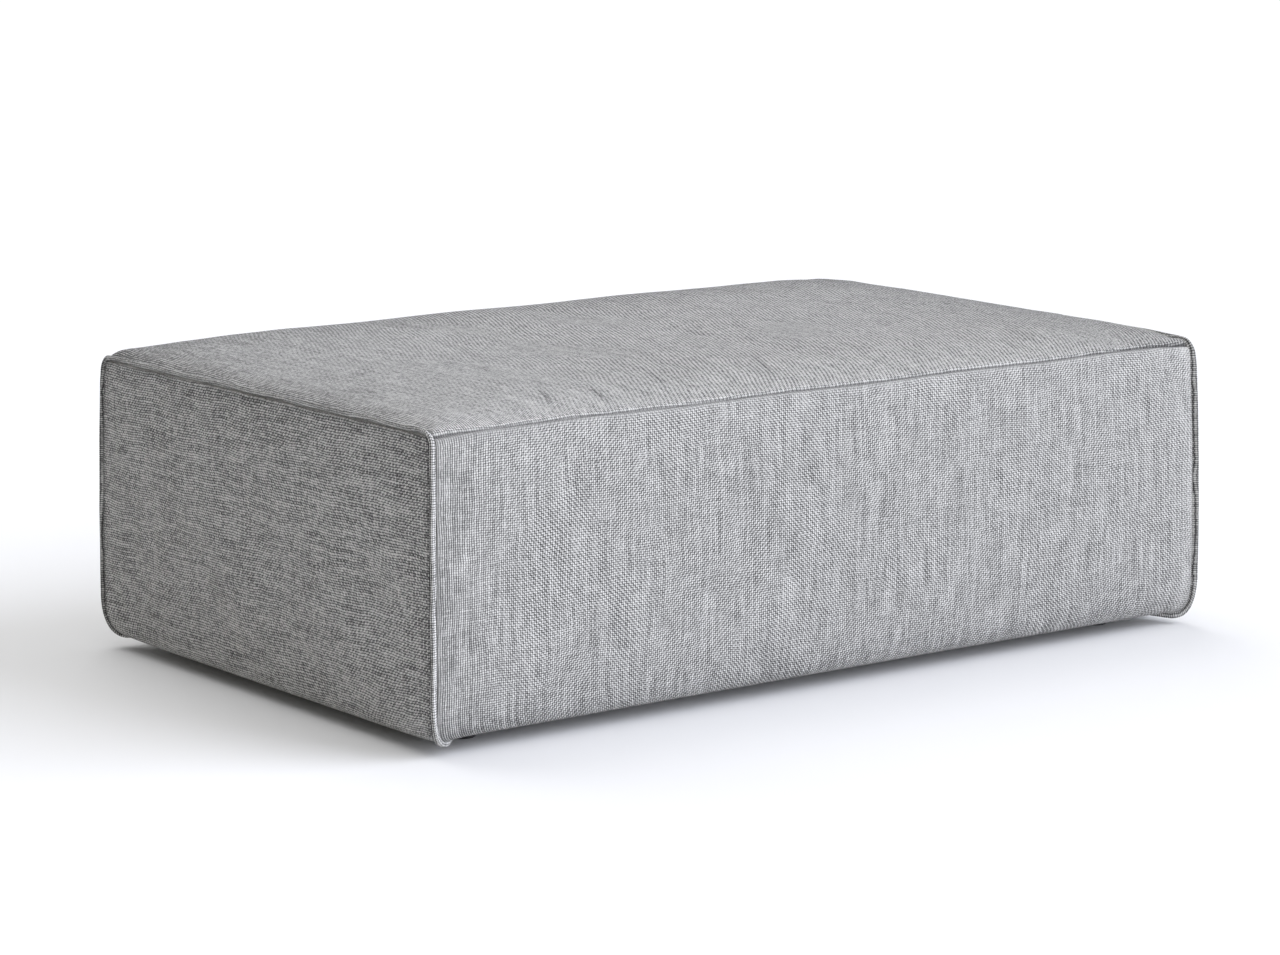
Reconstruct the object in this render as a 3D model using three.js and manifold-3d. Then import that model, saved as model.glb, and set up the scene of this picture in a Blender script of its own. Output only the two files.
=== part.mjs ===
import * as THREE from "three";
import { mergeVertices } from "three/addons/utils/BufferGeometryUtils.js";
import Module from "manifold-3d";

// A low rectangular ottoman: a foam-filled cover of plain cloth that stands on four glides.
// Millimetres, +Z up, with the origin on the floor under the middle. The long panels face -Y and
// +Y, and the end panels, which raised flange seams outline, face -X and +X.

// Overall sizes
const SEAM_LENGTH = 1200; // between the corner seams along X, low down
const SEAM_WIDTH = 746; // between the corner seams along Y, low down
const SEAM_HEIGHT = 376; // top corners of the cover above the floor
const GLIDE_HEIGHT = 12; // underside of the cover above the floor

// Form of the filled cover
const CROWN = 17; // climb of the top panel from its seams
const CROWN_REACH = 60; // distance from the seams over which it climbs
const DOME = 2; // further rise towards the middle of the top panel
const LONG_SEAM_RISE = 1; // rise of the top seams between their ends
const LONG_RISE_POWER = 8;
const END_SEAM_RISE = 4;
const END_RISE_POWER = 4;
const PUFF = 4; // swell of the side panels out of their seams
const PUFF_REACH = 25;
const SWELL = 3; // further swell towards the middle of each side panel
const FILL_POWER = 2.4; // roundness of a panel's climb out of its seam
const TOP_DRAW_IN = 5; // top corners pulled in from the corner seams' foot
const DRAW_IN_POWER = 3;
const SEAM_GROOVE = 2.5; // depth of the plain seams along the top of the long panels
const CORNER_RADIUS = 16; // top corners of the end panels
const CORNER_FADE = 60; // distance from the end over which that rounding runs out
const TUCK_IN = 30; // width of the roll where the panels turn under
const TUCK_UP = 35; // height of that roll

// Lattice of the cover
const STEPS_LONG = 26;
const STEPS_SHORT = 18;
const WALL_STEPS = 8;
const TUCK_STEPS = 5;
const LEVELS = WALL_STEPS + TUCK_STEPS;

// Flange seam: a folded strip with its root sewn into the edge of the cover
const FLANGE_PROUD = 8; // stands out of the edge by this much
const FLANGE_ROOT = 3; // sits in the edge by this much
const FLANGE_THICKNESS = 4;
const FLANGE_SQUARENESS = 0.6;
const FLANGE_SIDES = 8;
const FLANGE_STEPS = 96;
const FLANGE_END_LEVEL = 0.15; // where it starts on the roll, as a share of the roll
const FLANGE_TAPER = 35; // distance over which it grows from its tucked ends
const FLANGE_END_SHARE = 0.4; // how proud it is at its ends, as a share
const WAVE = 0.8; // sideways waver of the strip
const WAVE_LENGTH = 94;
const SLOT_GAP = 0.4; // clearance of its root in the slot that it is sewn into

// Glides
const GLIDE_GAP = 0.3; // clearance to the underside that they are fixed to
const GLIDE_RADIUS = 18;
const GLIDE_CHAMFER = 2;
const GLIDE_SIDES = 20;
const GLIDE_INSET_X = 92; // from the corner seams' foot to the middle of a glide
const GLIDE_INSET_Y = 82;

const cloth = () => new THREE.MeshStandardMaterial({ color: 0x9b9ca0, roughness: 0.95, metalness: 0 });
const plastic = () => new THREE.MeshStandardMaterial({ color: 0x161616, roughness: 0.55, metalness: 0 });

const wasm = await Module();
wasm.setup();

// How full a panel is at a distance from its seam: 0 on the seam, 1 beyond the reach
function fullness(distance, reach) {
  return 1 - Math.max(0, 1 - distance / reach) ** FILL_POWER;
}

// The cover's bare form at a place on it: s and t run from -1 to 1 along X and Y, and level runs
// from 0 at the underside to 1 at the top of the roll and 2 at the top seams.
function bareForm(s, t, level) {
  const turn = (Math.min(level, 1) * Math.PI) / 2;
  const wall = Math.max(level - 1, 0);
  const tuck = TUCK_IN * (1 - Math.sin(turn));
  const drawIn = TOP_DRAW_IN * wall ** 2;
  const halfLength = SEAM_LENGTH / 2 - tuck - drawIn * Math.abs(t) ** DRAW_IN_POWER;
  const halfWidth = SEAM_WIDTH / 2 - tuck - drawIn * Math.abs(s) ** DRAW_IN_POWER;
  const longRise = LONG_SEAM_RISE * (1 - Math.abs(s) ** LONG_RISE_POWER);
  const endRise = END_SEAM_RISE * (1 - Math.abs(t) ** END_RISE_POWER);
  const seam = SEAM_HEIGHT + longRise + endRise;
  const rollTop = GLIDE_HEIGHT + TUCK_UP * (1 - Math.cos(turn));
  const point = new THREE.Vector3(s * halfLength, t * halfWidth, rollTop + wall * (seam - rollTop));
  return roundEndCorner(point, s, halfWidth, seam);
}

// Rounds the two top corners of an end panel, less and less away from the end
function roundEndCorner(point, s, halfWidth, seam) {
  const across = (Math.abs(point.y) - halfWidth) / CORNER_RADIUS + 1;
  const up = (point.z - seam) / CORNER_RADIUS + 1;
  const fade = 1 - ((1 - Math.abs(s)) * SEAM_LENGTH) / 2 / CORNER_FADE;
  if (across <= 0 || up <= 0 || fade <= 0) {
    return point;
  }
  const inward = across * (1 - Math.sqrt(1 - up ** 2 / 2)) * CORNER_RADIUS * fade;
  const down = up * (1 - Math.sqrt(1 - across ** 2 / 2)) * CORNER_RADIUS * fade;
  point.y -= Math.sign(point.y) * inward;
  point.z -= down;
  return point;
}

// The filled form: the crown of the top, the swell of the sides and the grooves of the plain seams
function filledForm(s, t, level) {
  const point = bareForm(s, t, level);
  const fromEnd = ((1 - Math.abs(s)) * SEAM_LENGTH) / 2;
  const fromLong = ((1 - Math.abs(t)) * SEAM_WIDTH) / 2;
  const fromTop = (2 - level) * (SEAM_HEIGHT - GLIDE_HEIGHT - TUCK_UP);
  const onEnd = Math.abs(s) === 1;
  const onLong = Math.abs(t) === 1;
  const wallShare = Math.sin((Math.min(level, 1) * Math.PI) / 2);
  const belly = wallShare * Math.sin(Math.PI * Math.max(level - 1, 0));
  if (level === 2) {
    point.z += CROWN * fullness(fromEnd, CROWN_REACH) * fullness(fromLong, CROWN_REACH);
    point.z += DOME * (1 - s ** 2) * (1 - t ** 2);
  }
  if (onEnd) {
    const puff = PUFF * wallShare * fullness(fromLong, PUFF_REACH) * fullness(fromTop, PUFF_REACH);
    point.x += s * (puff + SWELL * belly * (1 - t ** 2));
  }
  if (onLong) {
    const puff = PUFF * wallShare * fullness(fromEnd, PUFF_REACH) * fullness(fromTop, PUFF_REACH);
    point.y += t * (puff + SWELL * belly * (1 - s ** 2));
  }
  if (onLong && level === 2 && !onEnd) {
    point.y -= (t * SEAM_GROOVE) / Math.SQRT2;
    point.z -= SEAM_GROOVE / Math.SQRT2;
  }
  return point;
}

// Lattice places crowd towards the seams, where the form bends most
function crowded(share) {
  return Math.sign(share) * (1 - (1 - Math.abs(share)) ** 2);
}

function levelOf(row) {
  if (row <= TUCK_STEPS) {
    return row / TUCK_STEPS;
  }
  return 1 + crowded((row - TUCK_STEPS) / WALL_STEPS);
}

// Only positions are kept, and shared corners are merged, so that the surface is closed
function closedSurface(geometry) {
  geometry.deleteAttribute("normal");
  geometry.deleteAttribute("uv");
  return mergeVertices(geometry, 1e-3);
}

function coverGeometry() {
  const box = new THREE.BoxGeometry(2, 2, LEVELS, STEPS_LONG, STEPS_SHORT, LEVELS);
  const places = box.getAttribute("position");
  for (let i = 0; i < places.count; i += 1) {
    const s = crowded(places.getX(i));
    const t = crowded(places.getY(i));
    const level = levelOf(Math.round(places.getZ(i) + LEVELS / 2));
    places.setXYZ(i, ...filledForm(s, t, level));
  }
  return closedSurface(box);
}

// The line of a flange seam round one end: side is -1 or 1 for the end panel at -X or +X
function flangeLine(side) {
  const points = [];
  for (let row = 0; row < LEVELS; row += 1) {
    points.push(bareForm(side, -1, Math.max(levelOf(row), FLANGE_END_LEVEL)));
  }
  for (let step = -STEPS_SHORT / 2; step <= STEPS_SHORT / 2; step += 1) {
    points.push(bareForm(side, crowded((2 * step) / STEPS_SHORT), 2));
  }
  for (let row = LEVELS - 1; row >= 0; row -= 1) {
    points.push(bareForm(side, 1, Math.max(levelOf(row), FLANGE_END_LEVEL)));
  }
  return new THREE.CatmullRomCurve3(points, false, "centripetal");
}

// The direction in which the flange stands out of the edge, halfway between the two panels
function outwards(point, along, side) {
  const height = Math.min((point.z - GLIDE_HEIGHT) / TUCK_UP, 1);
  const turn = Math.acos(1 - height);
  const endFacing = new THREE.Vector3(side * Math.sin(turn), 0, -Math.cos(turn));
  const rimFacing = along.clone().cross(endFacing).multiplyScalar(-side).normalize();
  return endFacing.add(rimFacing).normalize();
}

// A round bar bent along the seam line, with its section squared to a flat strip
function flangeGeometry(side, margin) {
  const line = flangeLine(side);
  const length = line.getLength();
  const bar = new THREE.CylinderGeometry(1, 1, 1, FLANGE_SIDES, FLANGE_STEPS);
  const places = bar.getAttribute("position");
  const squared = (value) => Math.sign(value) * Math.abs(value) ** FLANGE_SQUARENESS;
  for (let i = 0; i < places.count; i += 1) {
    const share = places.getY(i) + 0.5;
    const point = line.getPointAt(share);
    const along = line.getTangentAt(share);
    const out = outwards(point, along, side);
    const across = out.clone().cross(along);
    const fromTip = Math.min(share, 1 - share) * length;
    const growth = Math.min(fromTip / FLANGE_TAPER, 1);
    const proud = FLANGE_PROUD * (FLANGE_END_SHARE + (1 - FLANGE_END_SHARE) * growth);
    const halfDepth = (proud + FLANGE_ROOT) / 2 + margin;
    const middle = (proud - FLANGE_ROOT) / 2;
    const waver = WAVE * growth * Math.sin((2 * Math.PI * share * length) / WAVE_LENGTH);
    const onTip = share === 0 || share === 1;
    point.addScaledVector(along, onTip ? Math.sign(share - 0.5) * margin : 0);
    point.addScaledVector(out, middle + halfDepth * squared(places.getX(i)));
    point.addScaledVector(across, waver + (FLANGE_THICKNESS / 2 + margin) * squared(places.getZ(i)));
    places.setXYZ(i, ...point);
  }
  return closedSurface(bar);
}

function toSolid(geometry) {
  const vertProperties = Float32Array.from(geometry.getAttribute("position").array);
  const triVerts = Uint32Array.from(geometry.index.array);
  return new wasm.Manifold(new wasm.Mesh({ numProp: 3, vertProperties, triVerts }));
}

function toGeometry(solid) {
  const mesh = solid.getMesh();
  const geometry = new THREE.BufferGeometry();
  geometry.setAttribute("position", new THREE.BufferAttribute(mesh.vertProperties, 3));
  geometry.setIndex(new THREE.BufferAttribute(mesh.triVerts, 1));
  return geometry;
}

// The cover has a slot along each end edge, in which the root of the flange is sewn
function ottomanBody() {
  let solid = toSolid(coverGeometry());
  for (const side of [-1, 1]) {
    solid = solid.subtract(toSolid(flangeGeometry(side, SLOT_GAP)));
  }
  const mesh = new THREE.Mesh(toGeometry(solid), cloth());
  mesh.name = "ottoman_body";
  return mesh;
}

function endWelt(name, side) {
  const mesh = new THREE.Mesh(flangeGeometry(side, 0), cloth());
  mesh.name = name;
  return mesh;
}

// A moulded disc with a chamfered rim, flat on the floor
function glide(name, sideX, sideY) {
  const height = GLIDE_HEIGHT - GLIDE_GAP;
  const profile = [
    new THREE.Vector2(0, 0),
    new THREE.Vector2(GLIDE_RADIUS - GLIDE_CHAMFER, 0),
    new THREE.Vector2(GLIDE_RADIUS, GLIDE_CHAMFER),
    new THREE.Vector2(GLIDE_RADIUS, height),
    new THREE.Vector2(0, height),
  ];
  const disc = closedSurface(new THREE.LatheGeometry(profile, GLIDE_SIDES));
  const mesh = new THREE.Mesh(disc, plastic());
  mesh.name = name;
  mesh.rotation.x = Math.PI / 2;
  mesh.position.x = sideX * (SEAM_LENGTH / 2 - GLIDE_INSET_X);
  mesh.position.y = sideY * (SEAM_WIDTH / 2 - GLIDE_INSET_Y);
  return mesh;
}

const ottoman = new THREE.Group();
ottoman.add(ottomanBody());
ottoman.add(endWelt("end_welt_left", -1));
ottoman.add(endWelt("end_welt_right", 1));
ottoman.add(glide("glide_front_left", -1, -1));
ottoman.add(glide("glide_front_right", 1, -1));
ottoman.add(glide("glide_back_left", -1, 1));
ottoman.add(glide("glide_back_right", 1, 1));

export default ottoman;
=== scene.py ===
import math

import bmesh
import bpy
import numpy as np
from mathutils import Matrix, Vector


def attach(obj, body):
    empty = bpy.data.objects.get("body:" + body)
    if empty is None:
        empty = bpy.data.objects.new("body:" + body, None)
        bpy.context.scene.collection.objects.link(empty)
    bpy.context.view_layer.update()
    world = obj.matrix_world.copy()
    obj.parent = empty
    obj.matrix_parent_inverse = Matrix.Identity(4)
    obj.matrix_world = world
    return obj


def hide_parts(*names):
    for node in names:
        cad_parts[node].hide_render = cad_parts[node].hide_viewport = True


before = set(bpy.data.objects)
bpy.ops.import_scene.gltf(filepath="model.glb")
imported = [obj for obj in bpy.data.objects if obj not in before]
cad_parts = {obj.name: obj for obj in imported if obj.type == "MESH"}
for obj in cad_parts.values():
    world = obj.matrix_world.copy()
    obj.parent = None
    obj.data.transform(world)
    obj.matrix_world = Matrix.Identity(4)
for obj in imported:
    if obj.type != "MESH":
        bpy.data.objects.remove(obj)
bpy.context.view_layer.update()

# The cover: panels of plain-woven grey cloth, sewn round a block of foam. Plain seams join the
# top to the long sides, and a raised flange outlines each end. The fill pushes the panels out
# between their seams, and their lower edges roll under the base.

# The seams draw in towards the top corners and rise a little between them. The long ones wave
SEAM_LENGTH = 1.200
SEAM_WIDTH = 0.746
SEAM_HEIGHT = 0.3745
LONG_SEAM_RISE = 0.001
LONG_SEAM_POWER = 8
END_SEAM_RISE = 0.002
RIGHT_SEAM_RISE = 0.0015
END_SEAM_POWER = 4
SEAM_WAVE = 0.0007
SEAM_WAVE_LENGTH = 0.29
SEAM_WAVE_START = 0.3
SEAM_WAVE_POWER = 6
TOP_DRAW_IN = 0.005
DRAW_IN_POWER = 3
CORNER_RADIUS = 0.014
CORNER_FADE = 0.060

# The walls roll in under the base, whose long edges lift a little between the corners. The right
# end flares out towards its roll
BASE_HEIGHT = 0.012
TUCK_UP = 0.050
WALL_HEIGHT = SEAM_HEIGHT - BASE_HEIGHT - TUCK_UP
LEFT_TUCK_IN = 0.026
LEFT_TUCK_POWER = 1.4
RIGHT_TUCK_IN = 0.0182
RIGHT_TUCK_POWER = 2.4
LONG_TUCK_IN = 0.016
RIGHT_FLARE = 0.004
FLARE_POWER = 2.5
BASE_EDGE_LIFT = 0.0075
BASE_EDGE_REACH = 0.030
BASE_LIFT_POWER = 40
BASE_RIGHT_SAG = 0.4

# The fill crowns the top, a little higher at the back and at the front right, and swells the sides
CROWN = 0.0245
CROWN_END_REACH = 0.060
CROWN_SIDE_REACH = 0.105
CROWN_LONG_REACH = 0.30
CROWN_LONG_SHARE = 0.40
CROWN_BACK_LEAN = 0.20
CROWN_RIGHT_RISE = 0.10
CROWN_CORNER_POWER = 5
FILL_POWER = 2.4
DOME = 0.002
PUFF = 0.0008
PUFF_REACH = 0.025
SWELL = 0.005

# Each hollow in the top is its place, how far it reaches and how deep it is. Below 0 it is a swell
TOP_HOLLOWS = (
    (-0.566, 0.283, 0.020, 0.0030),
    (0.578, -0.340, 0.018, 0.0025),
    (-0.585, 0.352, 0.022, -0.0020),
    (0.520, 0.300, 0.100, 0.0018),
)

# A crease runs below the seam of each end panel, and fades out from one corner
CREASE_BELOW_SEAM = 0.0095
CREASE_WIDTH = 0.0028
CREASE_DEPTH = 0.0022
CREASE_FADE = 0.5

# Beside a seam the cloth comes out of the stitching on a slant, rolls over a tight lip, whose crest
# is given in radii, and then turns along its panel
SEAM_INSET = 0.0007
LIP_REACH = 0.0040
LIP_SLANT = math.pi / 4
LIP_TURN = 0.75 * math.pi
LIP_CREST = 1.707
PLAIN_SEAM = {"gap": 0.0011, "radius": 0.0012}
FLANGED_SEAM = {"gap": 0.0022, "radius": 0.0022}

# The rows of the mesh lie close together beside the seams, at so many lip reaches from them, and
# evenly further out
SEAM_STEPS = (0, 0.14, 0.28, 0.44, 0.6, 0.78, 1)
SEAM_STEPS += (1.5, 2.2, 3.0, 3.9, 5.5, 7.6, 10.2, 13.5, 17.5, 22.0)
CELL = 0.018
ROLL_CELLS = 8
TOUCHING = 1e-6
OUTERMOST = 0.9999


def lattice_places(half):
    near = [step * LIP_REACH for step in SEAM_STEPS]
    even_cells = round((half - near[-1]) / CELL)
    even = [near[-1] + (half - near[-1]) * (i + 1) / even_cells for i in range(even_cells)]
    return near + even


def both_halves(half):
    places = [1 - distance / half for distance in lattice_places(half)]
    return [-place for place in places] + places[-2::-1]


LONG_PLACES = both_halves(SEAM_LENGTH / 2)
SHORT_PLACES = both_halves(SEAM_WIDTH / 2)
LEVELS = [row / ROLL_CELLS for row in range(ROLL_CELLS)]
LEVELS += [2 - distance / WALL_HEIGHT for distance in reversed(lattice_places(WALL_HEIGHT))]


def fullness(distance, reach):
    return 1 - max(0.0, 1 - distance / reach) ** FILL_POWER


def both_full(first, second):
    if min(first, second) <= 0:
        return 0.0
    power = CROWN_CORNER_POWER
    return (first**-power + second**-power - 1) ** (-1 / power)


def lip(distance, gap, radius):
    taken = min(distance / LIP_REACH, 1) * (gap + radius * LIP_TURN)
    along = proud = min(taken, gap) / math.sqrt(2)
    turned = max(taken - gap, 0) / radius
    along += radius * (math.cos(LIP_SLANT) + math.cos(math.pi + LIP_SLANT - turned))
    proud += radius * (math.sin(LIP_SLANT) + math.sin(math.pi + LIP_SLANT - turned))
    return along, proud


def round_end_corner(point, s, half_width, seam):
    across = (abs(point.y) - half_width) / CORNER_RADIUS + 1
    up = (point.z - seam) / CORNER_RADIUS + 1
    fade = 1 - (1 - abs(s)) * SEAM_LENGTH / 2 / CORNER_FADE
    if across <= 0 or up <= 0 or fade <= 0:
        return point
    inward = across * (1 - math.sqrt(1 - up**2 / 2)) * CORNER_RADIUS * fade
    down = up * (1 - math.sqrt(1 - across**2 / 2)) * CORNER_RADIUS * fade
    point.y -= math.copysign(inward, point.y)
    point.z -= down
    return point


# A place on the cover is s from end to end and t from front to back, each from -1 to 1, and a
# level: 0 to 1 up the roll under the base, and 1 to 2 up the wall
def bare_form(s, t, level):
    turn = min(level, 1) * math.pi / 2
    wall = max(level - 1, 0)
    tuck = 1 - math.sin(turn)
    if s < 0:
        end_tuck = LEFT_TUCK_IN * tuck**LEFT_TUCK_POWER
    else:
        end_tuck = RIGHT_TUCK_IN * tuck**RIGHT_TUCK_POWER
    draw_in = TOP_DRAW_IN * wall**2
    half_length = SEAM_LENGTH / 2 - end_tuck - draw_in * abs(t) ** DRAW_IN_POWER
    half_length += RIGHT_FLARE * max(s, 0) * (1 - wall**FLARE_POWER)
    half_width = SEAM_WIDTH / 2 - LONG_TUCK_IN * tuck - draw_in * abs(s) ** DRAW_IN_POWER
    end_rise = END_SEAM_RISE + RIGHT_SEAM_RISE * max(s, 0) ** END_SEAM_POWER
    wave = math.sin(math.pi * (s + SEAM_WAVE_START) * SEAM_LENGTH / SEAM_WAVE_LENGTH)
    seam = SEAM_HEIGHT + LONG_SEAM_RISE * (1 - abs(s) ** LONG_SEAM_POWER)
    seam += end_rise * (1 - abs(t) ** END_SEAM_POWER)
    seam += SEAM_WAVE * wave * (1 - s**SEAM_WAVE_POWER)
    from_rim = (1 - abs(t)) * SEAM_WIDTH / 2
    lift = BASE_EDGE_LIFT * (1 - s**BASE_LIFT_POWER / 2) * (1 - BASE_RIGHT_SAG * max(s, 0) ** 2)
    roll_top = BASE_HEIGHT + TUCK_UP * (1 - math.cos(turn))
    roll_top += lift * max(1 - level, 0) * math.exp(-from_rim / BASE_EDGE_REACH)
    point = Vector((s * half_length, t * half_width, roll_top + wall * (seam - roll_top)))
    return round_end_corner(point, s, half_width, seam)


def seam_distances(s, t, level):
    return (1 - abs(s)) * SEAM_LENGTH / 2, (1 - abs(t)) * SEAM_WIDTH / 2, (2 - level) * WALL_HEIGHT


def lipped(point, sides, distances, share):
    met = [axis for axis in range(3) if distances[axis] < TOUCHING]
    for axis in range(3):
        others = [other for other in range(3) if other != axis]
        inward = 0
        if axis in met:
            inward = -1
        for other in others:
            seam = PLAIN_SEAM if {axis, other} == {1, 2} else FLANGED_SEAM
            if axis in met:
                along, proud = lip(distances[other], **seam)
                inward = max(inward, SEAM_INSET - proud)
            elif other in met and distances[axis] < LIP_REACH:
                along, proud = lip(distances[axis], **seam)
                inward = max(inward, SEAM_INSET + along - distances[axis])
        point[axis] -= sides[axis] * inward * share
    return point


def filled_form(s, t, level):
    point = bare_form(s, t, level)
    distances = seam_distances(s, t, level)
    from_end, from_long, from_top = distances
    on_end, on_long, on_top = [distance < TOUCHING for distance in distances]
    wall_share = math.sin(min(level, 1) * math.pi / 2)
    belly = wall_share * math.sin(math.pi * max(level - 1, 0))
    if on_top:
        end_climb = fullness(from_end, CROWN_END_REACH) * (1 - CROWN_LONG_SHARE)
        end_climb += fullness(from_end, CROWN_LONG_REACH) * CROWN_LONG_SHARE
        climb = both_full(end_climb, fullness(from_long, CROWN_SIDE_REACH))
        right_rise = CROWN_RIGHT_RISE * max(s, 0) ** 2 * (1 - t) / 2
        crown = CROWN * (1 + CROWN_BACK_LEAN * t + right_rise)
        lip_height = FLANGED_SEAM["gap"] / math.sqrt(2) + FLANGED_SEAM["radius"] * LIP_CREST
        point.z += (crown - lip_height + SEAM_INSET) * climb + DOME * (1 - s**2) * (1 - t**2)
        for x, y, reach, depth in TOP_HOLLOWS:
            point.z -= depth * math.exp(-((point.x - x) ** 2 + (point.y - y) ** 2) / reach**2)
    if on_end:
        puff = PUFF * wall_share * fullness(from_long, PUFF_REACH) * fullness(from_top, PUFF_REACH)
        crease = CREASE_DEPTH * math.exp(-(((from_top - CREASE_BELOW_SEAM) / CREASE_WIDTH) ** 2))
        crease *= max(s * -t - CREASE_FADE, 0) / (1 - CREASE_FADE)
        point.x += s * (puff + SWELL * belly * (1 - t**2) - crease)
    if on_long:
        puff = PUFF * wall_share * fullness(from_end, PUFF_REACH) * fullness(from_top, PUFF_REACH)
        point.y += t * (puff + SWELL * belly * (1 - s**2))
    if level > 0:
        sides = (math.copysign(1, s), math.copysign(1, t), 1)
        point = lipped(point, sides, distances, wall_share)
    return point


lattice = bmesh.new()
bmesh.ops.create_cube(lattice, size=2)
for axis, places in enumerate((LONG_PLACES, SHORT_PLACES, LEVELS)):
    along = [e for e in lattice.edges if abs(e.verts[0].co[axis] - e.verts[1].co[axis]) > 1]
    bmesh.ops.subdivide_edges(lattice, edges=along, cuts=len(places) - 2, use_grid_fill=True)

TOP, BASE, LONG, END = range(4)
panel_of = lattice.faces.layers.int.new("panel")
for face in lattice.faces:
    middle = face.calc_center_median()
    if abs(middle.z) > OUTERMOST:
        face[panel_of] = TOP if middle.z > 0 else BASE
    else:
        face[panel_of] = END if abs(middle.x) > OUTERMOST else LONG

wall_length = [0.0]
for low_level, high_level in zip(LEVELS, LEVELS[1:]):
    step = bare_form(0, -1, high_level) - bare_form(0, -1, low_level)
    wall_length.append(wall_length[-1] + step.length)


def rows_of(place):
    counts = (len(LONG_PLACES), len(SHORT_PLACES), len(LEVELS))
    return [round((at + 1) / 2 * (count - 1)) for at, count in zip(place, counts)]


thread_map = lattice.loops.layers.uv.new("threads")
for face in lattice.faces:
    for loop in face.loops:
        column, row, height = rows_of(loop.vert.co)
        x = LONG_PLACES[column] * SEAM_LENGTH / 2
        y = SHORT_PLACES[row] * SEAM_WIDTH / 2
        up = wall_length[height]
        if face[panel_of] == LONG:
            loop[thread_map].uv = (x, up + SEAM_WIDTH)
        elif face[panel_of] == END:
            loop[thread_map].uv = (up + SEAM_LENGTH, y)
        else:
            loop[thread_map].uv = (x, y)

# Painted light and shade: beside the seams, and up the walls from the base, the cloth's tone is
# lightened or darkened in place of light and shade from the lamps. Each pair is how strong a
# painted shade or light is, and how far from its seam, or from the base, it reaches
LEFT_TOP_SHADE = (0.19, 0.011)
RIGHT_TOP_SHADE = (0.29, 0.140)
BACK_TOP_SHADE = (0.27, 0.150)
FRONT_TOP_LIGHT = (0.14, 0.090)
FRONT_HIGH_LIGHT = (0.05, 0.050)
FRONT_LEFT_SHADE = (0.07, 0.030)
FRONT_RIGHT_LIGHT = (0.10, 0.024)
END_SEAM_SHADE = (0.21, 0.016)
END_GROOVE_LIGHT = (0.90, 0.0030)
END_HIGH_SHADE = (0.06, 0.160)
END_FRONT_SHADE = (0.32, 0.013)
END_BACK_SHADE = (0.55, 0.009)
LONG_ROLL_SHADE = (0.25, 0.024)
END_ROLL_SHADE = (0.07, 0.024)

# Painted shade darkens the plain seams right beside their stitches, the painted back shade eases
# off towards the left, and painted shade darkens the left end panel a little towards the back
PAINTED_SEAM_SHADE = 0.31
PAINTED_SEAM_REACH = 0.0014
BACK_TOP_EASE_POWER = 4
END_FAR_SHADE = 0.035

# The left end of each long side is pulled into ribs, the cloth is pressed flat along its seams,
# and its weave is softer at the left of the top
RIBS = (0.7, 0.060)
PRESSED = (0.8, 0.0050)
LEFT_SOFTNESS = 0.30
LEFT_SOFT_POWER = 1.5


def fall(distance, strength, reach):
    return strength * math.exp(-distance / reach)


def bell(distance, strength, reach):
    return strength * math.exp(-((distance / reach) ** 2))


# Paints light and shade into the cover's tone beside its seams
def seam_shade(s, t, distances):
    from_end, from_long, from_top = distances
    on_end, on_long, on_top = [distance < TOUCHING for distance in distances]
    shade = 0.0
    if from_end >= PAINTED_SEAM_REACH:
        shade -= bell(sorted(distances)[1], PAINTED_SEAM_SHADE, PAINTED_SEAM_REACH)
    if on_top and s < 0:
        shade -= fall(from_end, *LEFT_TOP_SHADE)
    if on_top and s > 0:
        shade -= bell(from_end, *RIGHT_TOP_SHADE)
    if on_top and t > 0:
        shade -= bell(from_long, *BACK_TOP_SHADE) * (1 - max(-s, 0) ** BACK_TOP_EASE_POWER / 2)
    if on_top and t < 0:
        shade += fall(from_long, *FRONT_TOP_LIGHT)
    if on_long and t < 0:
        shade += fall(from_top, *FRONT_HIGH_LIGHT)
    if on_long and t < 0 and s < 0:
        shade -= fall(from_end, *FRONT_LEFT_SHADE)
    if on_long and t < 0 and s > 0:
        shade += bell(from_end, *FRONT_RIGHT_LIGHT)
    if on_end and s < 0:
        shade -= fall(from_top, *END_SEAM_SHADE) - bell(from_top, *END_GROOVE_LIGHT)
        shade -= fall(from_top, *END_HIGH_SHADE) + END_FAR_SHADE * (1 + t) / 2
    if on_end and s < 0 and t < 0:
        shade -= fall(from_long, *END_FRONT_SHADE)
    if on_end and s < 0 and t > 0:
        shade -= bell(from_long, *END_BACK_SHADE)
    return shade


# Near its seams and round the base the cover is held still when air swells it
HELD_REACH = 2.5 * LIP_REACH
HELD_LEVEL = 0.6

held = []
from_seam = []
shade_of = lattice.verts.layers.float.new("shade")
ribs_of = lattice.verts.layers.float.new("ribs")
pressed_of = lattice.verts.layers.float.new("pressed")
for vert in lattice.verts:
    column, row, height = rows_of(vert.co)
    s, t, level = LONG_PLACES[column], SHORT_PLACES[row], LEVELS[height]
    distances = seam_distances(s, t, level)
    on_long = distances[1] < TOUCHING
    on_top = distances[2] < TOUCHING
    from_seam.append(sorted(distances)[1])
    held.append(from_seam[-1] < HELD_REACH or level < HELD_LEVEL)
    vert.co = filled_form(s, t, level)
    # Painted shade darkens the walls towards the base, and the seams' painted light and shade is
    # added
    above_base = max(vert.co.z - BASE_HEIGHT, 0)
    roll_shade = fall(above_base, *(LONG_ROLL_SHADE if on_long else END_ROLL_SHADE))
    vert[shade_of] = seam_shade(s, t, distances) - roll_shade
    vert[pressed_of] = bell(from_seam[-1], *PRESSED)
    if on_long and s < 0:
        vert[ribs_of] = bell(distances[0], *RIBS)
    if on_top and s < 0:
        vert[pressed_of] = max(vert[pressed_of], LEFT_SOFTNESS * (-s) ** LEFT_SOFT_POWER)


def placed(name, data):
    thing = bpy.data.objects.new(name, data)
    bpy.context.scene.collection.objects.link(thing)
    return thing


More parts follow.
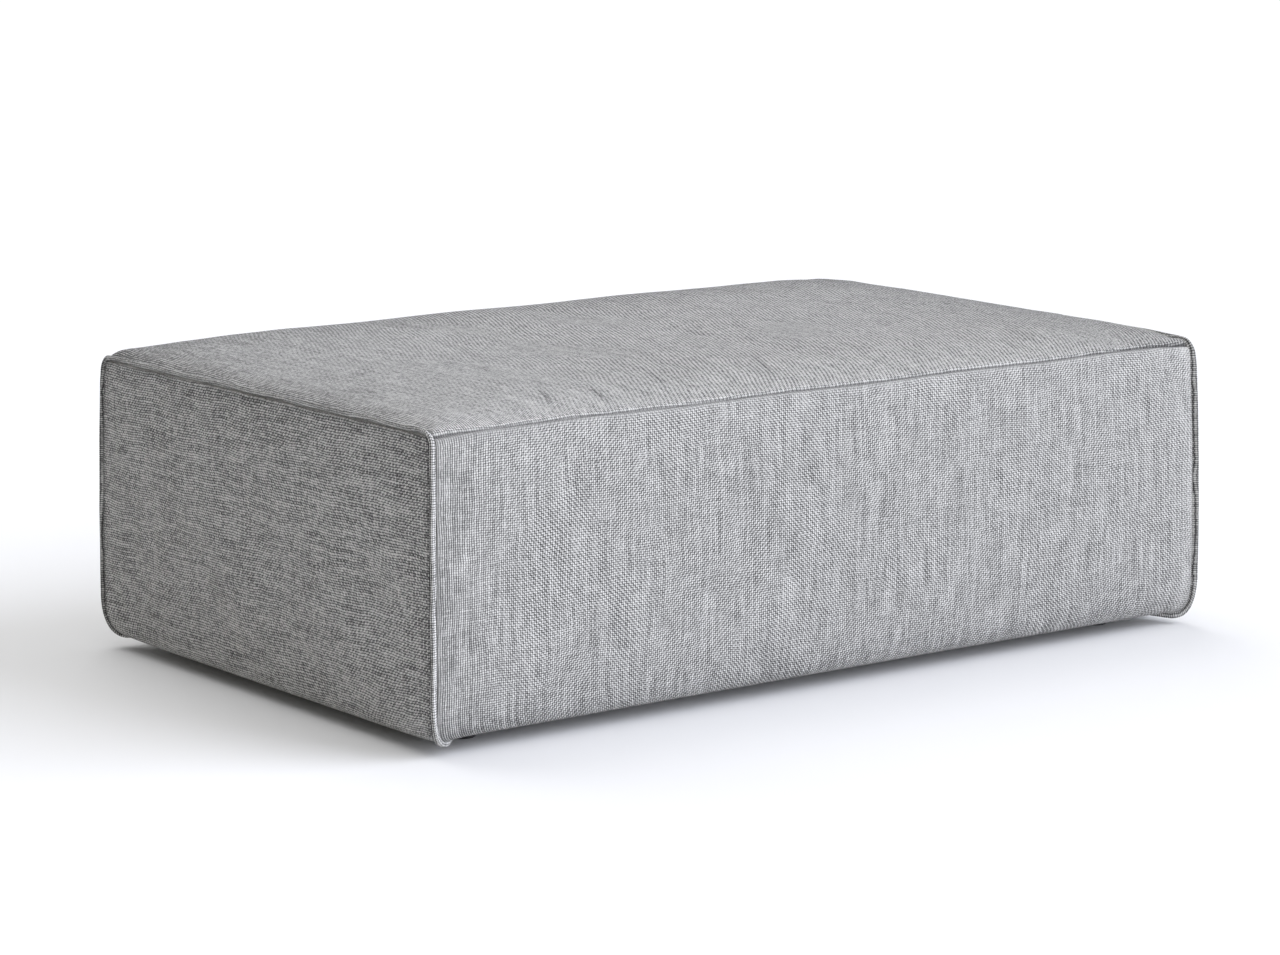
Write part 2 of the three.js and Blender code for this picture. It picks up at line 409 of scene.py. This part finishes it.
def meshed(name, shape):
    mesh = bpy.data.meshes.new(name)
    shape.to_mesh(mesh)
    shape.free()
    return mesh


def smoothed(mesh):
    for polygon in mesh.polygons:
        polygon.use_smooth = True


cover_mesh = meshed("cover", lattice)
cover = placed("filled_cover", cover_mesh)

# Air swells the panels between their seams. What is kept of it is a slight unevenness
AIR_FRAMES = 20
AIR_PRESSURE = 4
AIR_QUALITY = 4
SPARE_CLOTH = 0.02
EVENING_ROUNDS = 60
RELIEF_CAP = 0.0014
RELIEF_REACH = 0.045


def places_of(mesh):
    flat = np.empty(len(mesh.vertices) * 3)
    mesh.vertices.foreach_get("co", flat)
    return flat.reshape(-1, 3)


def evened(values, pairs, fixed, rounds):
    neighbours = np.bincount(pairs.ravel(), minlength=len(values))[:, None]
    for _ in range(rounds):
        total = np.zeros_like(values)
        np.add.at(total, pairs[:, 0], values[pairs[:, 1]])
        np.add.at(total, pairs[:, 1], values[pairs[:, 0]])
        values = (values + total / neighbours) / 2
        values[fixed] = 0
    return values


def swelled_by_air(piece, held):
    sewn = piece.vertex_groups.new(name="sewn")
    sewn.add([i for i, fixed in enumerate(held) if fixed], 1.0, "REPLACE")
    cloth = piece.modifiers.new("fill", "CLOTH")
    cloth.settings.quality = AIR_QUALITY
    cloth.settings.use_pressure = True
    cloth.settings.uniform_pressure_force = AIR_PRESSURE
    cloth.settings.vertex_group_mass = "sewn"
    cloth.settings.shrink_min = -SPARE_CLOTH
    cloth.settings.effector_weights.gravity = 0
    cloth.collision_settings.use_collision = False
    cloth.point_cache.frame_end = AIR_FRAMES
    for step in range(1, AIR_FRAMES + 1):
        bpy.context.scene.frame_set(step)
    swelled = piece.evaluated_get(bpy.context.evaluated_depsgraph_get())
    places = places_of(swelled.data)
    piece.modifiers.remove(cloth)
    piece.vertex_groups.clear()
    bpy.context.scene.frame_set(1)
    return places


at_rest = places_of(cover_mesh)
pairs = np.array([tuple(edge.vertices) for edge in cover_mesh.edges])
movement = swelled_by_air(cover, held) - at_rest
relief = movement - evened(movement, pairs, np.array(held), EVENING_ROUNDS)
moved = np.linalg.norm(relief, axis=1, keepdims=True)
relief *= RELIEF_CAP / (RELIEF_CAP + moved)
ease = np.clip(np.array(from_seam) / RELIEF_REACH, 0, 1)[:, None]
relief *= ease**2 * (3 - 2 * ease)
cover_mesh.vertices.foreach_set("co", (at_rest + relief).ravel())

fill_out = cover.modifiers.new("smooth", "SUBSURF")
fill_out.levels = 1
fill_out.render_levels = 1
smoothed(cover_mesh)

# The cloth is a plain weave. Its heights run from 0 in the gaps to 1 on a yarn's crown
WARP_PITCH = 0.0031
WEFT_PITCH = 0.0027
YARN_ROUNDNESS = 3.6
YARN_BOW = 2.0
RIB_ROUNDNESS = 3.2
RIB_CROWN = 0.84
MEAN_HEIGHT = 0.58
WEAVE_DEPTH = 0.0007

# The yarns drift slowly off their lines, and every yarn is nudged a little off its own
DRIFTS_PER_METRE = 9
DRIFT = 0.012
NUDGES_PER_METRE = 110
NUDGE = 0.0016

# Slubs run along a yarn, and a mottle over several. A run is how fast each changes per yarn
SLUB_ROUGHNESS = 0.7
SLUB_STEP = 0.73
WARP_SLUB_RUN = 0.03
WARP_SLUB_TONE = 0.8
WEFT_SLUB_RUN = 0.07
WEFT_SLUB_TONE = 0.35
MOTTLE_RUNS = (0.12, 0.08)
MOTTLE_TONE = 0.25

# Fine diagonal hatching leans one way or the other from region to region
HATCH_WANDER = 4.0
HATCH_WANDER_RUN = 0.016
HATCH_REGION_RUNS = (0.021, 0.013)
HATCH_REGION_CONTRAST = 5.0
HATCH_LOST_IN_RIBS = 1.2

# Faint creases run back from the front seam of the top, each from one place to another. Each
# lowers the weave's height along its line, which dents the bump and paints a darker line of shade
CREASE_LINE_WIDTH = 0.0028
CREASE_LINE_DEPTH = 0.19
TOP_CREASES = (
    (-0.020, -0.215, -0.085, -0.350),
    (-0.200, -0.240, -0.250, -0.365),
    (-0.314, -0.278, -0.346, -0.360),
    (-0.383, -0.273, -0.425, -0.365),
)

# Grey yarns, from the dark of the gaps to the light of the flecks
YARN_DARK = (0.12, (0.045, 0.045, 0.045, 1))
YARN_MIDDLE = (0.52, (0.302, 0.300, 0.295, 1))
YARN_LIGHT = (0.92, (0.670, 0.664, 0.650, 1))


def joined(tree, kind, *inputs, **settings):
    node = tree.nodes.new(kind)
    for name, value in settings.items():
        setattr(node, name, value)
    for place, value in enumerate(inputs):
        if isinstance(value, bpy.types.NodeSocket):
            tree.links.new(value, node.inputs[place])
        else:
            node.inputs[place].default_value = value
    return node.outputs[0]


def sums(tree, operation, *inputs, **settings):
    return joined(tree, "ShaderNodeMath", *inputs, operation=operation, **settings)


def chosen(tree, share, first, second):
    difference = sums(tree, "SUBTRACT", second, first)
    return sums(tree, "MULTIPLY_ADD", difference, share, first)


def humped(tree, off_centre, crown, roundness):
    squared = sums(tree, "MULTIPLY", off_centre, off_centre)
    return sums(tree, "MULTIPLY_ADD", squared, -roundness, crown)


def painted(tree, name):
    node = tree.nodes.new("ShaderNodeAttribute")
    node.attribute_name = name
    return node.outputs["Fac"]


def cloudy(tree, places, scale, detail=2, roughness=0.5, dimensions="3D"):
    noise = tree.nodes.new("ShaderNodeTexNoise")
    noise.noise_dimensions = dimensions
    noise.inputs["Scale"].default_value = scale
    noise.inputs["Detail"].default_value = detail
    noise.inputs["Roughness"].default_value = roughness
    tree.links.new(places, noise.inputs["Vector"])
    return noise.outputs


def yarn_noise(tree, x, x_run, y, y_run, detail):
    across = sums(tree, "MULTIPLY", x, x_run)
    along = sums(tree, "MULTIPLY", y, y_run)
    place = joined(tree, "ShaderNodeCombineXYZ", across, along, 0.0)
    clouds = cloudy(tree, place, 1, detail, SLUB_ROUGHNESS, "2D")
    return sums(tree, "SUBTRACT", clouds["Fac"], 0.5)


def strayed(tree, places, threads, per_metre, reach):
    clouds = cloudy(tree, threads, per_metre)["Color"]
    centred = joined(tree, "ShaderNodeVectorMath", clouds, (0.5, 0.5, 0.5), operation="SUBTRACT")
    shift = tree.nodes.new("ShaderNodeVectorMath")
    shift.operation = "SCALE"
    shift.inputs["Scale"].default_value = reach
    tree.links.new(centred, shift.inputs[0])
    return joined(tree, "ShaderNodeVectorMath", places, shift.outputs[0], operation="ADD")


def hatching(tree, x, y, u, v, pitch, lean, bias):
    wander = yarn_noise(tree, u, HATCH_WANDER_RUN, v, HATCH_WANDER_RUN, 1)
    turns = sums(tree, "MULTIPLY", wander, HATCH_WANDER)
    leaning = sums(tree, "MULTIPLY", y, lean)
    lines = []
    for direction in ("SUBTRACT", "ADD"):
        across = sums(tree, direction, x, leaning)
        angle = sums(tree, "DIVIDE", across, pitch / (2 * math.pi))
        lines.append(sums(tree, "SINE", sums(tree, "ADD", angle, turns)))
    region = yarn_noise(tree, u, HATCH_REGION_RUNS[0], v, HATCH_REGION_RUNS[1], 0)
    region = sums(tree, "MULTIPLY_ADD", region, HATCH_REGION_CONTRAST, 0.5 + bias, use_clamp=True)
    return chosen(tree, region, lines[0], lines[1])


# Lowers the height along each crease, which the tone turns into a painted line of shade and the
# bump into a dent
def creased(tree, height, x, y, creases):
    for x0, y0, x1, y1 in creases:
        run = Vector((x1 - x0, y1 - y0))
        off_x = sums(tree, "SUBTRACT", x, x0)
        off_y = sums(tree, "SUBTRACT", y, y0)
        along = sums(tree, "MULTIPLY", off_x, run.x / run.length_squared)
        along = sums(tree, "MULTIPLY_ADD", off_y, run.y / run.length_squared, along, use_clamp=True)
        off = sums(tree, "MULTIPLY", off_x, run.y / run.length / CREASE_LINE_WIDTH)
        off = sums(tree, "MULTIPLY_ADD", off_y, -run.x / run.length / CREASE_LINE_WIDTH, off)
        line = sums(tree, "EXPONENT", humped(tree, off, 0.0, 1.0))
        rise = sums(tree, "SINE", sums(tree, "MULTIPLY", along, math.pi))
        line = sums(tree, "MULTIPLY", line, rise)
        height = sums(tree, "MULTIPLY_ADD", line, -CREASE_LINE_DEPTH, height)
    return height


def tinted(tree, share, low, high, *between):
    node = tree.nodes.new("ShaderNodeValToRGB")
    tints = node.color_ramp.elements
    for number, (position, colour) in enumerate((low, high)):
        tints[number].position = position
        tints[number].color = colour
    for position, colour in between:
        tints.new(position).color = colour
    tree.links.new(share, node.inputs["Fac"])
    return node.outputs["Color"]


def embossed(tree, shader, height, strength, depth):
    bump = tree.nodes.new("ShaderNodeBump")
    bump.inputs["Strength"].default_value = strength
    bump.inputs["Distance"].default_value = depth
    tree.links.new(height, bump.inputs["Height"])
    tree.links.new(bump.outputs["Normal"], shader.inputs["Normal"])


def woven_cloth(
    name,
    gap_depth,
    lightness,
    variety,
    flecks,
    hatch=0.0,
    hatch_pitch=0.006,
    hatch_lean=1.0,
    hatch_bias=0.0,
    hatch_growth=0.15,
    creases=(),
):
    material = bpy.data.materials.new(name)
    material.use_nodes = True
    tree = material.node_tree
    shader = tree.nodes["Principled BSDF"]
    ribs = painted(tree, "ribs")
    shade = painted(tree, "shade")
    pressed = painted(tree, "pressed")
    threads = joined(tree, "ShaderNodeUVMap", uv_map="threads")
    wandering = strayed(tree, threads, threads, DRIFTS_PER_METRE, DRIFT)
    wandering = strayed(tree, wandering, threads, NUDGES_PER_METRE, NUDGE)
    split = tree.nodes.new("ShaderNodeSeparateXYZ")
    tree.links.new(wandering, split.inputs[0])
    x = split.outputs["X"]
    y = split.outputs["Y"]
    u = sums(tree, "DIVIDE", x, WARP_PITCH)
    v = sums(tree, "DIVIDE", y, WEFT_PITCH)
    column = sums(tree, "FLOOR", u)
    row = sums(tree, "FLOOR", v)
    across_warp = sums(tree, "SUBTRACT", sums(tree, "FRACT", u), 0.5)
    across_weft = sums(tree, "SUBTRACT", sums(tree, "FRACT", v), 0.5)
    weft_on_top = sums(tree, "FLOORED_MODULO", sums(tree, "ADD", column, row), 2.0)
    across = chosen(tree, weft_on_top, across_warp, across_weft)
    lengthwise = chosen(tree, weft_on_top, across_weft, across_warp)
    roundness = humped(tree, across, 1.0, YARN_ROUNDNESS)
    bow = humped(tree, lengthwise, 1.0, YARN_BOW)
    crossed = sums(tree, "MULTIPLY", roundness, bow)
    ribbed = humped(tree, across_warp, RIB_CROWN, RIB_ROUNDNESS)
    height = chosen(tree, ribs, crossed, ribbed)
    height = chosen(tree, pressed, height, MEAN_HEIGHT)
    height = creased(tree, height, x, y, creases)

    warp_slubs = yarn_noise(tree, column, SLUB_STEP, v, WARP_SLUB_RUN, 2)
    weft_slubs = yarn_noise(tree, u, WEFT_SLUB_RUN, row, SLUB_STEP, 2)
    mottle = yarn_noise(tree, u, MOTTLE_RUNS[0], v, MOTTLE_RUNS[1], 3)
    crossing = joined(tree, "ShaderNodeCombineXYZ", column, row, 0.0)
    fleck = joined(tree, "ShaderNodeTexWhiteNoise", crossing, noise_dimensions="2D")
    fleck = sums(tree, "SUBTRACT", fleck, 0.5)
    hatched = hatching(tree, x, y, u, v, hatch_pitch, hatch_lean, hatch_bias)
    from_left = SEAM_LENGTH / 2 / hatch_growth
    grown = sums(tree, "MULTIPLY_ADD", x, 1 / hatch_growth, from_left, use_clamp=True)
    hatch_here = sums(tree, "MULTIPLY_ADD", ribs, -HATCH_LOST_IN_RIBS * hatch, hatch)
    hatch_here = sums(tree, "MULTIPLY", hatch_here, grown)

    melange = sums(tree, "MULTIPLY", warp_slubs, WARP_SLUB_TONE * variety)
    melange = sums(tree, "MULTIPLY_ADD", weft_slubs, WEFT_SLUB_TONE * variety, melange)
    melange = sums(tree, "MULTIPLY_ADD", fleck, flecks, melange)
    melange = sums(tree, "MULTIPLY_ADD", mottle, MOTTLE_TONE * variety, melange)
    melange = sums(tree, "MULTIPLY_ADD", hatched, hatch_here, melange)
    melange = chosen(tree, pressed, melange, 0.0)
    # The shade attribute adds the painted light and shade from the seams and the flanges
    tone = sums(tree, "ADD", sums(tree, "ADD", melange, lightness), shade)
    proud = sums(tree, "SUBTRACT", height, MEAN_HEIGHT)
    tone = sums(tree, "MULTIPLY_ADD", proud, gap_depth, tone)
    colour = tinted(tree, tone, YARN_DARK, YARN_LIGHT, YARN_MIDDLE)
    tree.links.new(colour, shader.inputs["Base Color"])
    embossed(tree, shader, height, 1.0, WEAVE_DEPTH)
    shader.inputs["Roughness"].default_value = 0.95
    shader.inputs["Specular IOR Level"].default_value = 0.2
    shader.inputs["Sheen Weight"].default_value = 0.15
    shader.inputs["Sheen Roughness"].default_value = 0.5
    return material


# Each panel is cut from another part of the roll, so its slubs and flecks differ a little. Their
# lightness differs too, as painted light and shade: the sides lighter, the top and the ends darker
top_cloth = woven_cloth(
    "woven cloth top",
    gap_depth=2.05,
    lightness=0.460,
    variety=1.1,
    flecks=0.56,
    hatch=0.47,
    hatch_pitch=0.0058,
    hatch_lean=0.47,
    hatch_bias=-1.0,
    hatch_growth=0.45,
    creases=TOP_CREASES,
)
side_cloth = woven_cloth(
    "woven cloth sides",
    gap_depth=0.98,
    lightness=0.523,
    variety=0.7,
    flecks=0.16,
    hatch=0.22,
)
end_cloth = woven_cloth(
    "woven cloth ends",
    gap_depth=1.95,
    lightness=0.450,
    variety=1.2,
    flecks=0.60,
    hatch=0.24,
)
for cloth in (top_cloth, side_cloth, end_cloth):
    cover_mesh.materials.append(cloth)
PANEL_CLOTH = {TOP: 0, BASE: 1, LONG: 1, END: 2}
for polygon, panel in zip(cover_mesh.polygons, cover_mesh.attributes["panel"].data):
    polygon.material_index = PANEL_CLOTH[panel.value]
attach(cover, "root")
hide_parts("ottoman_body")

# The flange seams: at each end the edges of two panels are folded together and sewn through, so
# that a flat ridge of doubled cloth stands proud. It runs from under the base up one corner,
# over the top edge and down the other corner.

FLANGE_PROUD = 0.0075
RIGHT_FLANGE_EXTRA = 0.0012
FLANGE_ROOT = 0.0015
FLANGE_THICKNESS = 0.0048
FLANGE_SQUARENESS = 0.6
LEFT_TOP_SHARE = 1.08
RIGHT_TOP_SHARE = 0.88
CORNER_DIP = 0.20
CORNER_DIP_REACH = 0.030
FRONT_LEFT_LEAN = 1.2
WAVE = 0.0004
WAVE_LENGTH = 0.094

# Under the base the flange runs on a little, bunched up and lower, and tapers out
UNDER_RUN = 0.030
FLANGE_KNOB = 0.8
LEFT_UNDER_LOWER = 0.45
RIGHT_UNDER_LOWER = 0.18
FLANGE_TAPER = 0.040
FLANGE_END_SHARE = 0.3

# Painted light and shade on its folded edges stand in for the way each part faces the lamps:
# lighter on the left's top and front, darker on the left's back and end side and on the right's
# sides. The stitching shows as a line where the folded edges meet
LEFT_TOP_LIGHT = 0.22
LEFT_END_SHADE = 0.20
LEFT_FRONT_LIGHT = 0.08
LEFT_BACK_SHADE = 0.35
RIGHT_SHADE = 0.11
MEETING_SHADE = 0.16
MEETING_WIDTH = 0.1

FLANGE_SIDES = 16
FLANGE_CELLS = 420
FLANGE_MAP_RADIUS = 0.0035
MAP_SEAM_SHIFT = 1e-6
POINT_GAP = 0.0005

# The folded cloth is given a lighter tone than the panels, as painted light on the ridge
flange_cloth = woven_cloth("folded cloth", gap_depth=1.2, lightness=0.56, variety=0.8, flecks=0.3)


class SeamLine:
    def __init__(self, side):
        points = [bare_form(side, -1, 0) - Vector((side, -1, 0)) * UNDER_RUN]
        points += [bare_form(side, -1, level) for level in LEVELS[:-1]]
        points += [bare_form(side, t, 2) for t in SHORT_PLACES]
        points += [bare_form(side, 1, level) for level in reversed(LEVELS[:-1])]
        points += [bare_form(side, 1, 0) - Vector((side, 1, 0)) * UNDER_RUN]
        kept = points[:1]
        for point in points[1:]:
            if (point - kept[-1]).length > POINT_GAP:
                kept.append(point)
        self.points = np.array(kept)
        lengths = np.linalg.norm(np.diff(self.points, axis=0), axis=1)
        self.marks = np.concatenate([[0], np.cumsum(lengths)])
        self.length = self.marks[-1]

    def at(self, distance):
        return Vector([np.interp(distance, self.marks, self.points[:, axis]) for axis in range(3)])

    def along(self, distance, reach=0.006):
        return (self.at(distance + reach) - self.at(distance - reach)).normalized()


def outwards(point, along, side):
    height = min(max((point.z - BASE_HEIGHT) / TUCK_UP, 0), 1)
    turn = math.acos(1 - height)
    end_facing = Vector((side * math.sin(turn), 0, -math.cos(turn)))
    rim_facing = (along.cross(end_facing) * -side).normalized()
    if height < 1:
        rim_facing = Vector((0, math.copysign(math.sin(turn), point.y), -math.cos(turn)))
    lean = FRONT_LEFT_LEAN * max(-rim_facing.y, 0) * max(-side, 0)
    return (end_facing * (1 + lean) + rim_facing).normalized()


def flange_height(point, out, side, growth, bunching):
    proud = FLANGE_PROUD * (FLANGE_END_SHARE + (1 - FLANGE_END_SHARE) * growth)
    if side > 0:
        proud += RIGHT_FLANGE_EXTRA * growth
    from_corner = Vector((0, abs(point.y) - SEAM_WIDTH / 2, point.z - SEAM_HEIGHT)).length
    proud *= 1 - CORNER_DIP * max(1 - from_corner / CORNER_DIP_REACH, 0)
    top_share = LEFT_TOP_SHARE if side < 0 else RIGHT_TOP_SHARE
    proud *= 1 + (top_share - 1) * min(max(out.z, 0) * math.sqrt(2), 1)
    under_lower = LEFT_UNDER_LOWER if side < 0 else RIGHT_UNDER_LOWER
    return proud * (1 - under_lower * bunching)


# Paints light and shade on the flange by the way each part faces, and the line of the stitching
# along its crest
def flange_shade(out, side, outward, sideways):
    if side < 0:
        lit = LEFT_TOP_LIGHT * max(out.z, 0) + LEFT_FRONT_LIGHT * max(-out.y, 0)
        shade = lit * max(-sideways, 0) - LEFT_BACK_SHADE * max(out.y, 0)
        shade -= LEFT_END_SHADE * max(out.z, 0) * max(sideways, 0)
    else:
        shade = -RIGHT_SHADE * (1 - max(out.z, 0))
    if outward > 0 and abs(sideways) < MEETING_WIDTH:
        shade -= MEETING_SHADE
    return shade


def flange(name, side):
    line = SeamLine(side)
    strip = bmesh.new()
    bmesh.ops.create_cone(
        strip, cap_ends=True, segments=FLANGE_SIDES, radius1=1, radius2=1, depth=1
    )
    lengthwise = [e for e in strip.edges if abs(e.verts[0].co.z - e.verts[1].co.z) > 0.5]
    bmesh.ops.subdivide_edges(strip, edges=lengthwise, cuts=FLANGE_CELLS - 1, use_grid_fill=True)
    threads = strip.loops.layers.uv.new("threads")
    shade_of = strip.verts.layers.float.new("shade")
    for face in strip.faces:
        for loop in face.loops:
            place = loop.vert.co
            turned = math.atan2(place.y, place.x - MAP_SEAM_SHIFT)
            loop[threads].uv = (turned * FLANGE_MAP_RADIUS, (place.z + 0.5) * line.length)
    for vert in strip.verts:
        share = vert.co.z + 0.5
        distance = share * line.length
        point = line.at(distance)
        along = line.along(distance)
        out = outwards(point, along, side)
        across = out.cross(along)
        growth = min(min(share, 1 - share) * line.length / FLANGE_TAPER, 1)
        bunching = max(1 - (point.z - BASE_HEIGHT) / TUCK_UP, 0)
        proud = flange_height(point, out, side, growth, bunching)
        thickness = FLANGE_THICKNESS * (1 + FLANGE_KNOB * bunching**2)
        half_depth = (proud + FLANGE_ROOT) / 2
        middle = (proud - FLANGE_ROOT) / 2
        waver = WAVE * growth * math.sin(2 * math.pi * distance / WAVE_LENGTH)
        outward = math.copysign(abs(vert.co.x) ** FLANGE_SQUARENESS, vert.co.x)
        sideways = math.copysign(abs(vert.co.y) ** FLANGE_SQUARENESS, vert.co.y)
        vert[shade_of] = flange_shade(out, side, outward, sideways)
        vert.co = point + out * (middle + half_depth * outward)
        vert.co += across * (waver + thickness / 2 * sideways)
    bmesh.ops.recalc_face_normals(strip, faces=strip.faces)
    if strip.calc_volume(signed=True) < 0:
        bmesh.ops.reverse_faces(strip, faces=strip.faces)
    mesh = meshed(name, strip)
    smoothed(mesh)
    mesh.materials.append(flange_cloth)
    return placed(name, mesh)


for name, node, side in (
    ("flange_left", "end_welt_left", -1),
    ("flange_right", "end_welt_right", 1),
):
    welt = flange(name, side)
    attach(welt, "root")
    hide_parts(node)

# The glides: four moulded black plastic discs under the corners of the base. Each is screwed
# up into the base board and lifts the cloth off the floor.

PLASTIC_DARK = (0.0, (0.006, 0.006, 0.0065, 1))
PLASTIC_SCUFFED = (1.0, (0.016, 0.016, 0.017, 1))
PLASTIC_ROUGHNESS = (0.45, 0.65)
SCUFFS_PER_METRE = 60
GRAINS_PER_METRE = 900
GRAIN_STRENGTH = 0.2
GRAIN_DEPTH = 0.0002


def moulded_plastic(name):
    material = bpy.data.materials.new(name)
    material.use_nodes = True
    tree = material.node_tree
    shader = tree.nodes["Principled BSDF"]
    places = tree.nodes.new("ShaderNodeTexCoord").outputs["Object"]
    grain = cloudy(tree, places, GRAINS_PER_METRE, 3)["Fac"]
    scuffs = cloudy(tree, places, SCUFFS_PER_METRE)["Fac"]
    tint = tinted(tree, scuffs, PLASTIC_DARK, PLASTIC_SCUFFED)
    gloss = joined(tree, "ShaderNodeMapRange", scuffs, 0.0, 1.0, *PLASTIC_ROUGHNESS)
    tree.links.new(tint, shader.inputs["Base Color"])
    tree.links.new(gloss, shader.inputs["Roughness"])
    embossed(tree, shader, grain, GRAIN_STRENGTH, GRAIN_DEPTH)
    return material


black_plastic = moulded_plastic("moulded plastic")
for node in ("glide_front_left", "glide_front_right", "glide_back_left", "glide_back_right"):
    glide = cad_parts[node]
    glide.data.materials.clear()
    glide.data.materials.append(black_plastic)

# The studio: a plain white floor, four wide soft lamps, a pale surround that lights the left a
# little warmer and that the camera sees as white, and the camera at the photograph's place and
# angle.

FLOOR_SIZE = 60
FLOOR_COLOUR = (0.93, 0.93, 0.935, 1)

floor_shape = bmesh.new()
bmesh.ops.create_grid(floor_shape, x_segments=1, y_segments=1, size=FLOOR_SIZE / 2)
floor = placed("floor", meshed("floor", floor_shape))
paper = bpy.data.materials.new("white floor")
paper.use_nodes = True
paper_shader = paper.node_tree.nodes["Principled BSDF"]
paper_shader.inputs["Base Color"].default_value = FLOOR_COLOUR
paper_shader.inputs["Roughness"].default_value = 0.9
paper_shader.inputs["Specular IOR Level"].default_value = 0.1
floor.data.materials.append(paper)

# The walls change from the left to the right, and give way to a dim ceiling over a band of height
LEFT_WALL = (0.15, (0.435, 0.41, 0.31, 1))
RIGHT_WALL = (0.40, (0.95, 0.95, 0.95, 1))
CEILING = (0.2, 0.2, 0.2, 1)
CEILING_BAND = (0.10, 0.30)
SEEN_SURROUND = (1.0, 1.0, 1.0, 1)
FIRST_COLOUR, SECOND_COLOUR, MIXED_COLOUR = 6, 7, 2


def mixed(tree, share, first, second):
    node = tree.nodes.new("ShaderNodeMix")
    node.data_type = "RGBA"
    tree.links.new(share, node.inputs["Factor"])
    tree.links.new(first, node.inputs[FIRST_COLOUR])
    node.inputs[SECOND_COLOUR].default_value = second
    return node.outputs[MIXED_COLOUR]


surround = bpy.data.worlds.new("surround")
bpy.context.scene.world = surround
surround.use_nodes = True
sky = surround.node_tree
direction = sky.nodes.new("ShaderNodeSeparateXYZ")
looking = sky.nodes.new("ShaderNodeTexCoord").outputs["Generated"]
sky.links.new(looking, direction.inputs[0])
to_right = joined(sky, "ShaderNodeMapRange", direction.outputs["X"], -1.0)
upward = joined(sky, "ShaderNodeMapRange", direction.outputs["Z"], *CEILING_BAND)
walls = tinted(sky, to_right, LEFT_WALL, RIGHT_WALL)
room = mixed(sky, upward, walls, CEILING)
to_camera = sky.nodes.new("ShaderNodeLightPath").outputs["Is Camera Ray"]
seen = mixed(sky, to_camera, room, SEEN_SURROUND)
sky.links.new(seen, sky.nodes["Background"].inputs["Color"])

# Each lamp is a wide soft source: its strength, its colour and the direction that it stands in
LAMP_SPREAD = math.radians(60)
for name, strength, colour, stands in (
    ("key", 3.45, (0.965, 1.0, 1.11), (0.6645, -0.6645, 0.342)),
    ("front_fill", 0.20, (1.0, 1.0, 1.0), (0.0, -0.643, 0.766)),
    ("back_light", 1.08, (1.0, 1.0, 1.0), (0.0, 0.643, 0.766)),
    ("overhead", 0.75, (1.0, 1.0, 1.0), (0.0, 0.0, 1.0)),
):
    lamp = bpy.data.lights.new(name, "SUN")
    lamp.energy = strength
    lamp.color = colour
    lamp.angle = LAMP_SPREAD
    holder = placed(name, lamp)
    holder.rotation_euler = Vector(stands).to_track_quat("Z", "Y").to_euler()

CAMERA_PLACE = (-3.0156, -3.9238, 1.1011)
CAMERA_PITCH = math.radians(10.22)
CAMERA_TURN = math.radians(37.32)
CAMERA_LENS = 109.375
CAMERA_REACH = 200

camera_data = bpy.data.cameras.new("camera")
camera_data.lens = CAMERA_LENS
camera_data.sensor_width = 36
camera_data.clip_end = CAMERA_REACH
camera = placed("camera", camera_data)
camera.location = CAMERA_PLACE
camera.rotation_euler = (math.pi / 2 - CAMERA_PITCH, 0, -CAMERA_TURN)
bpy.context.scene.camera = camera
bpy.context.scene.view_settings.view_transform = "Standard"
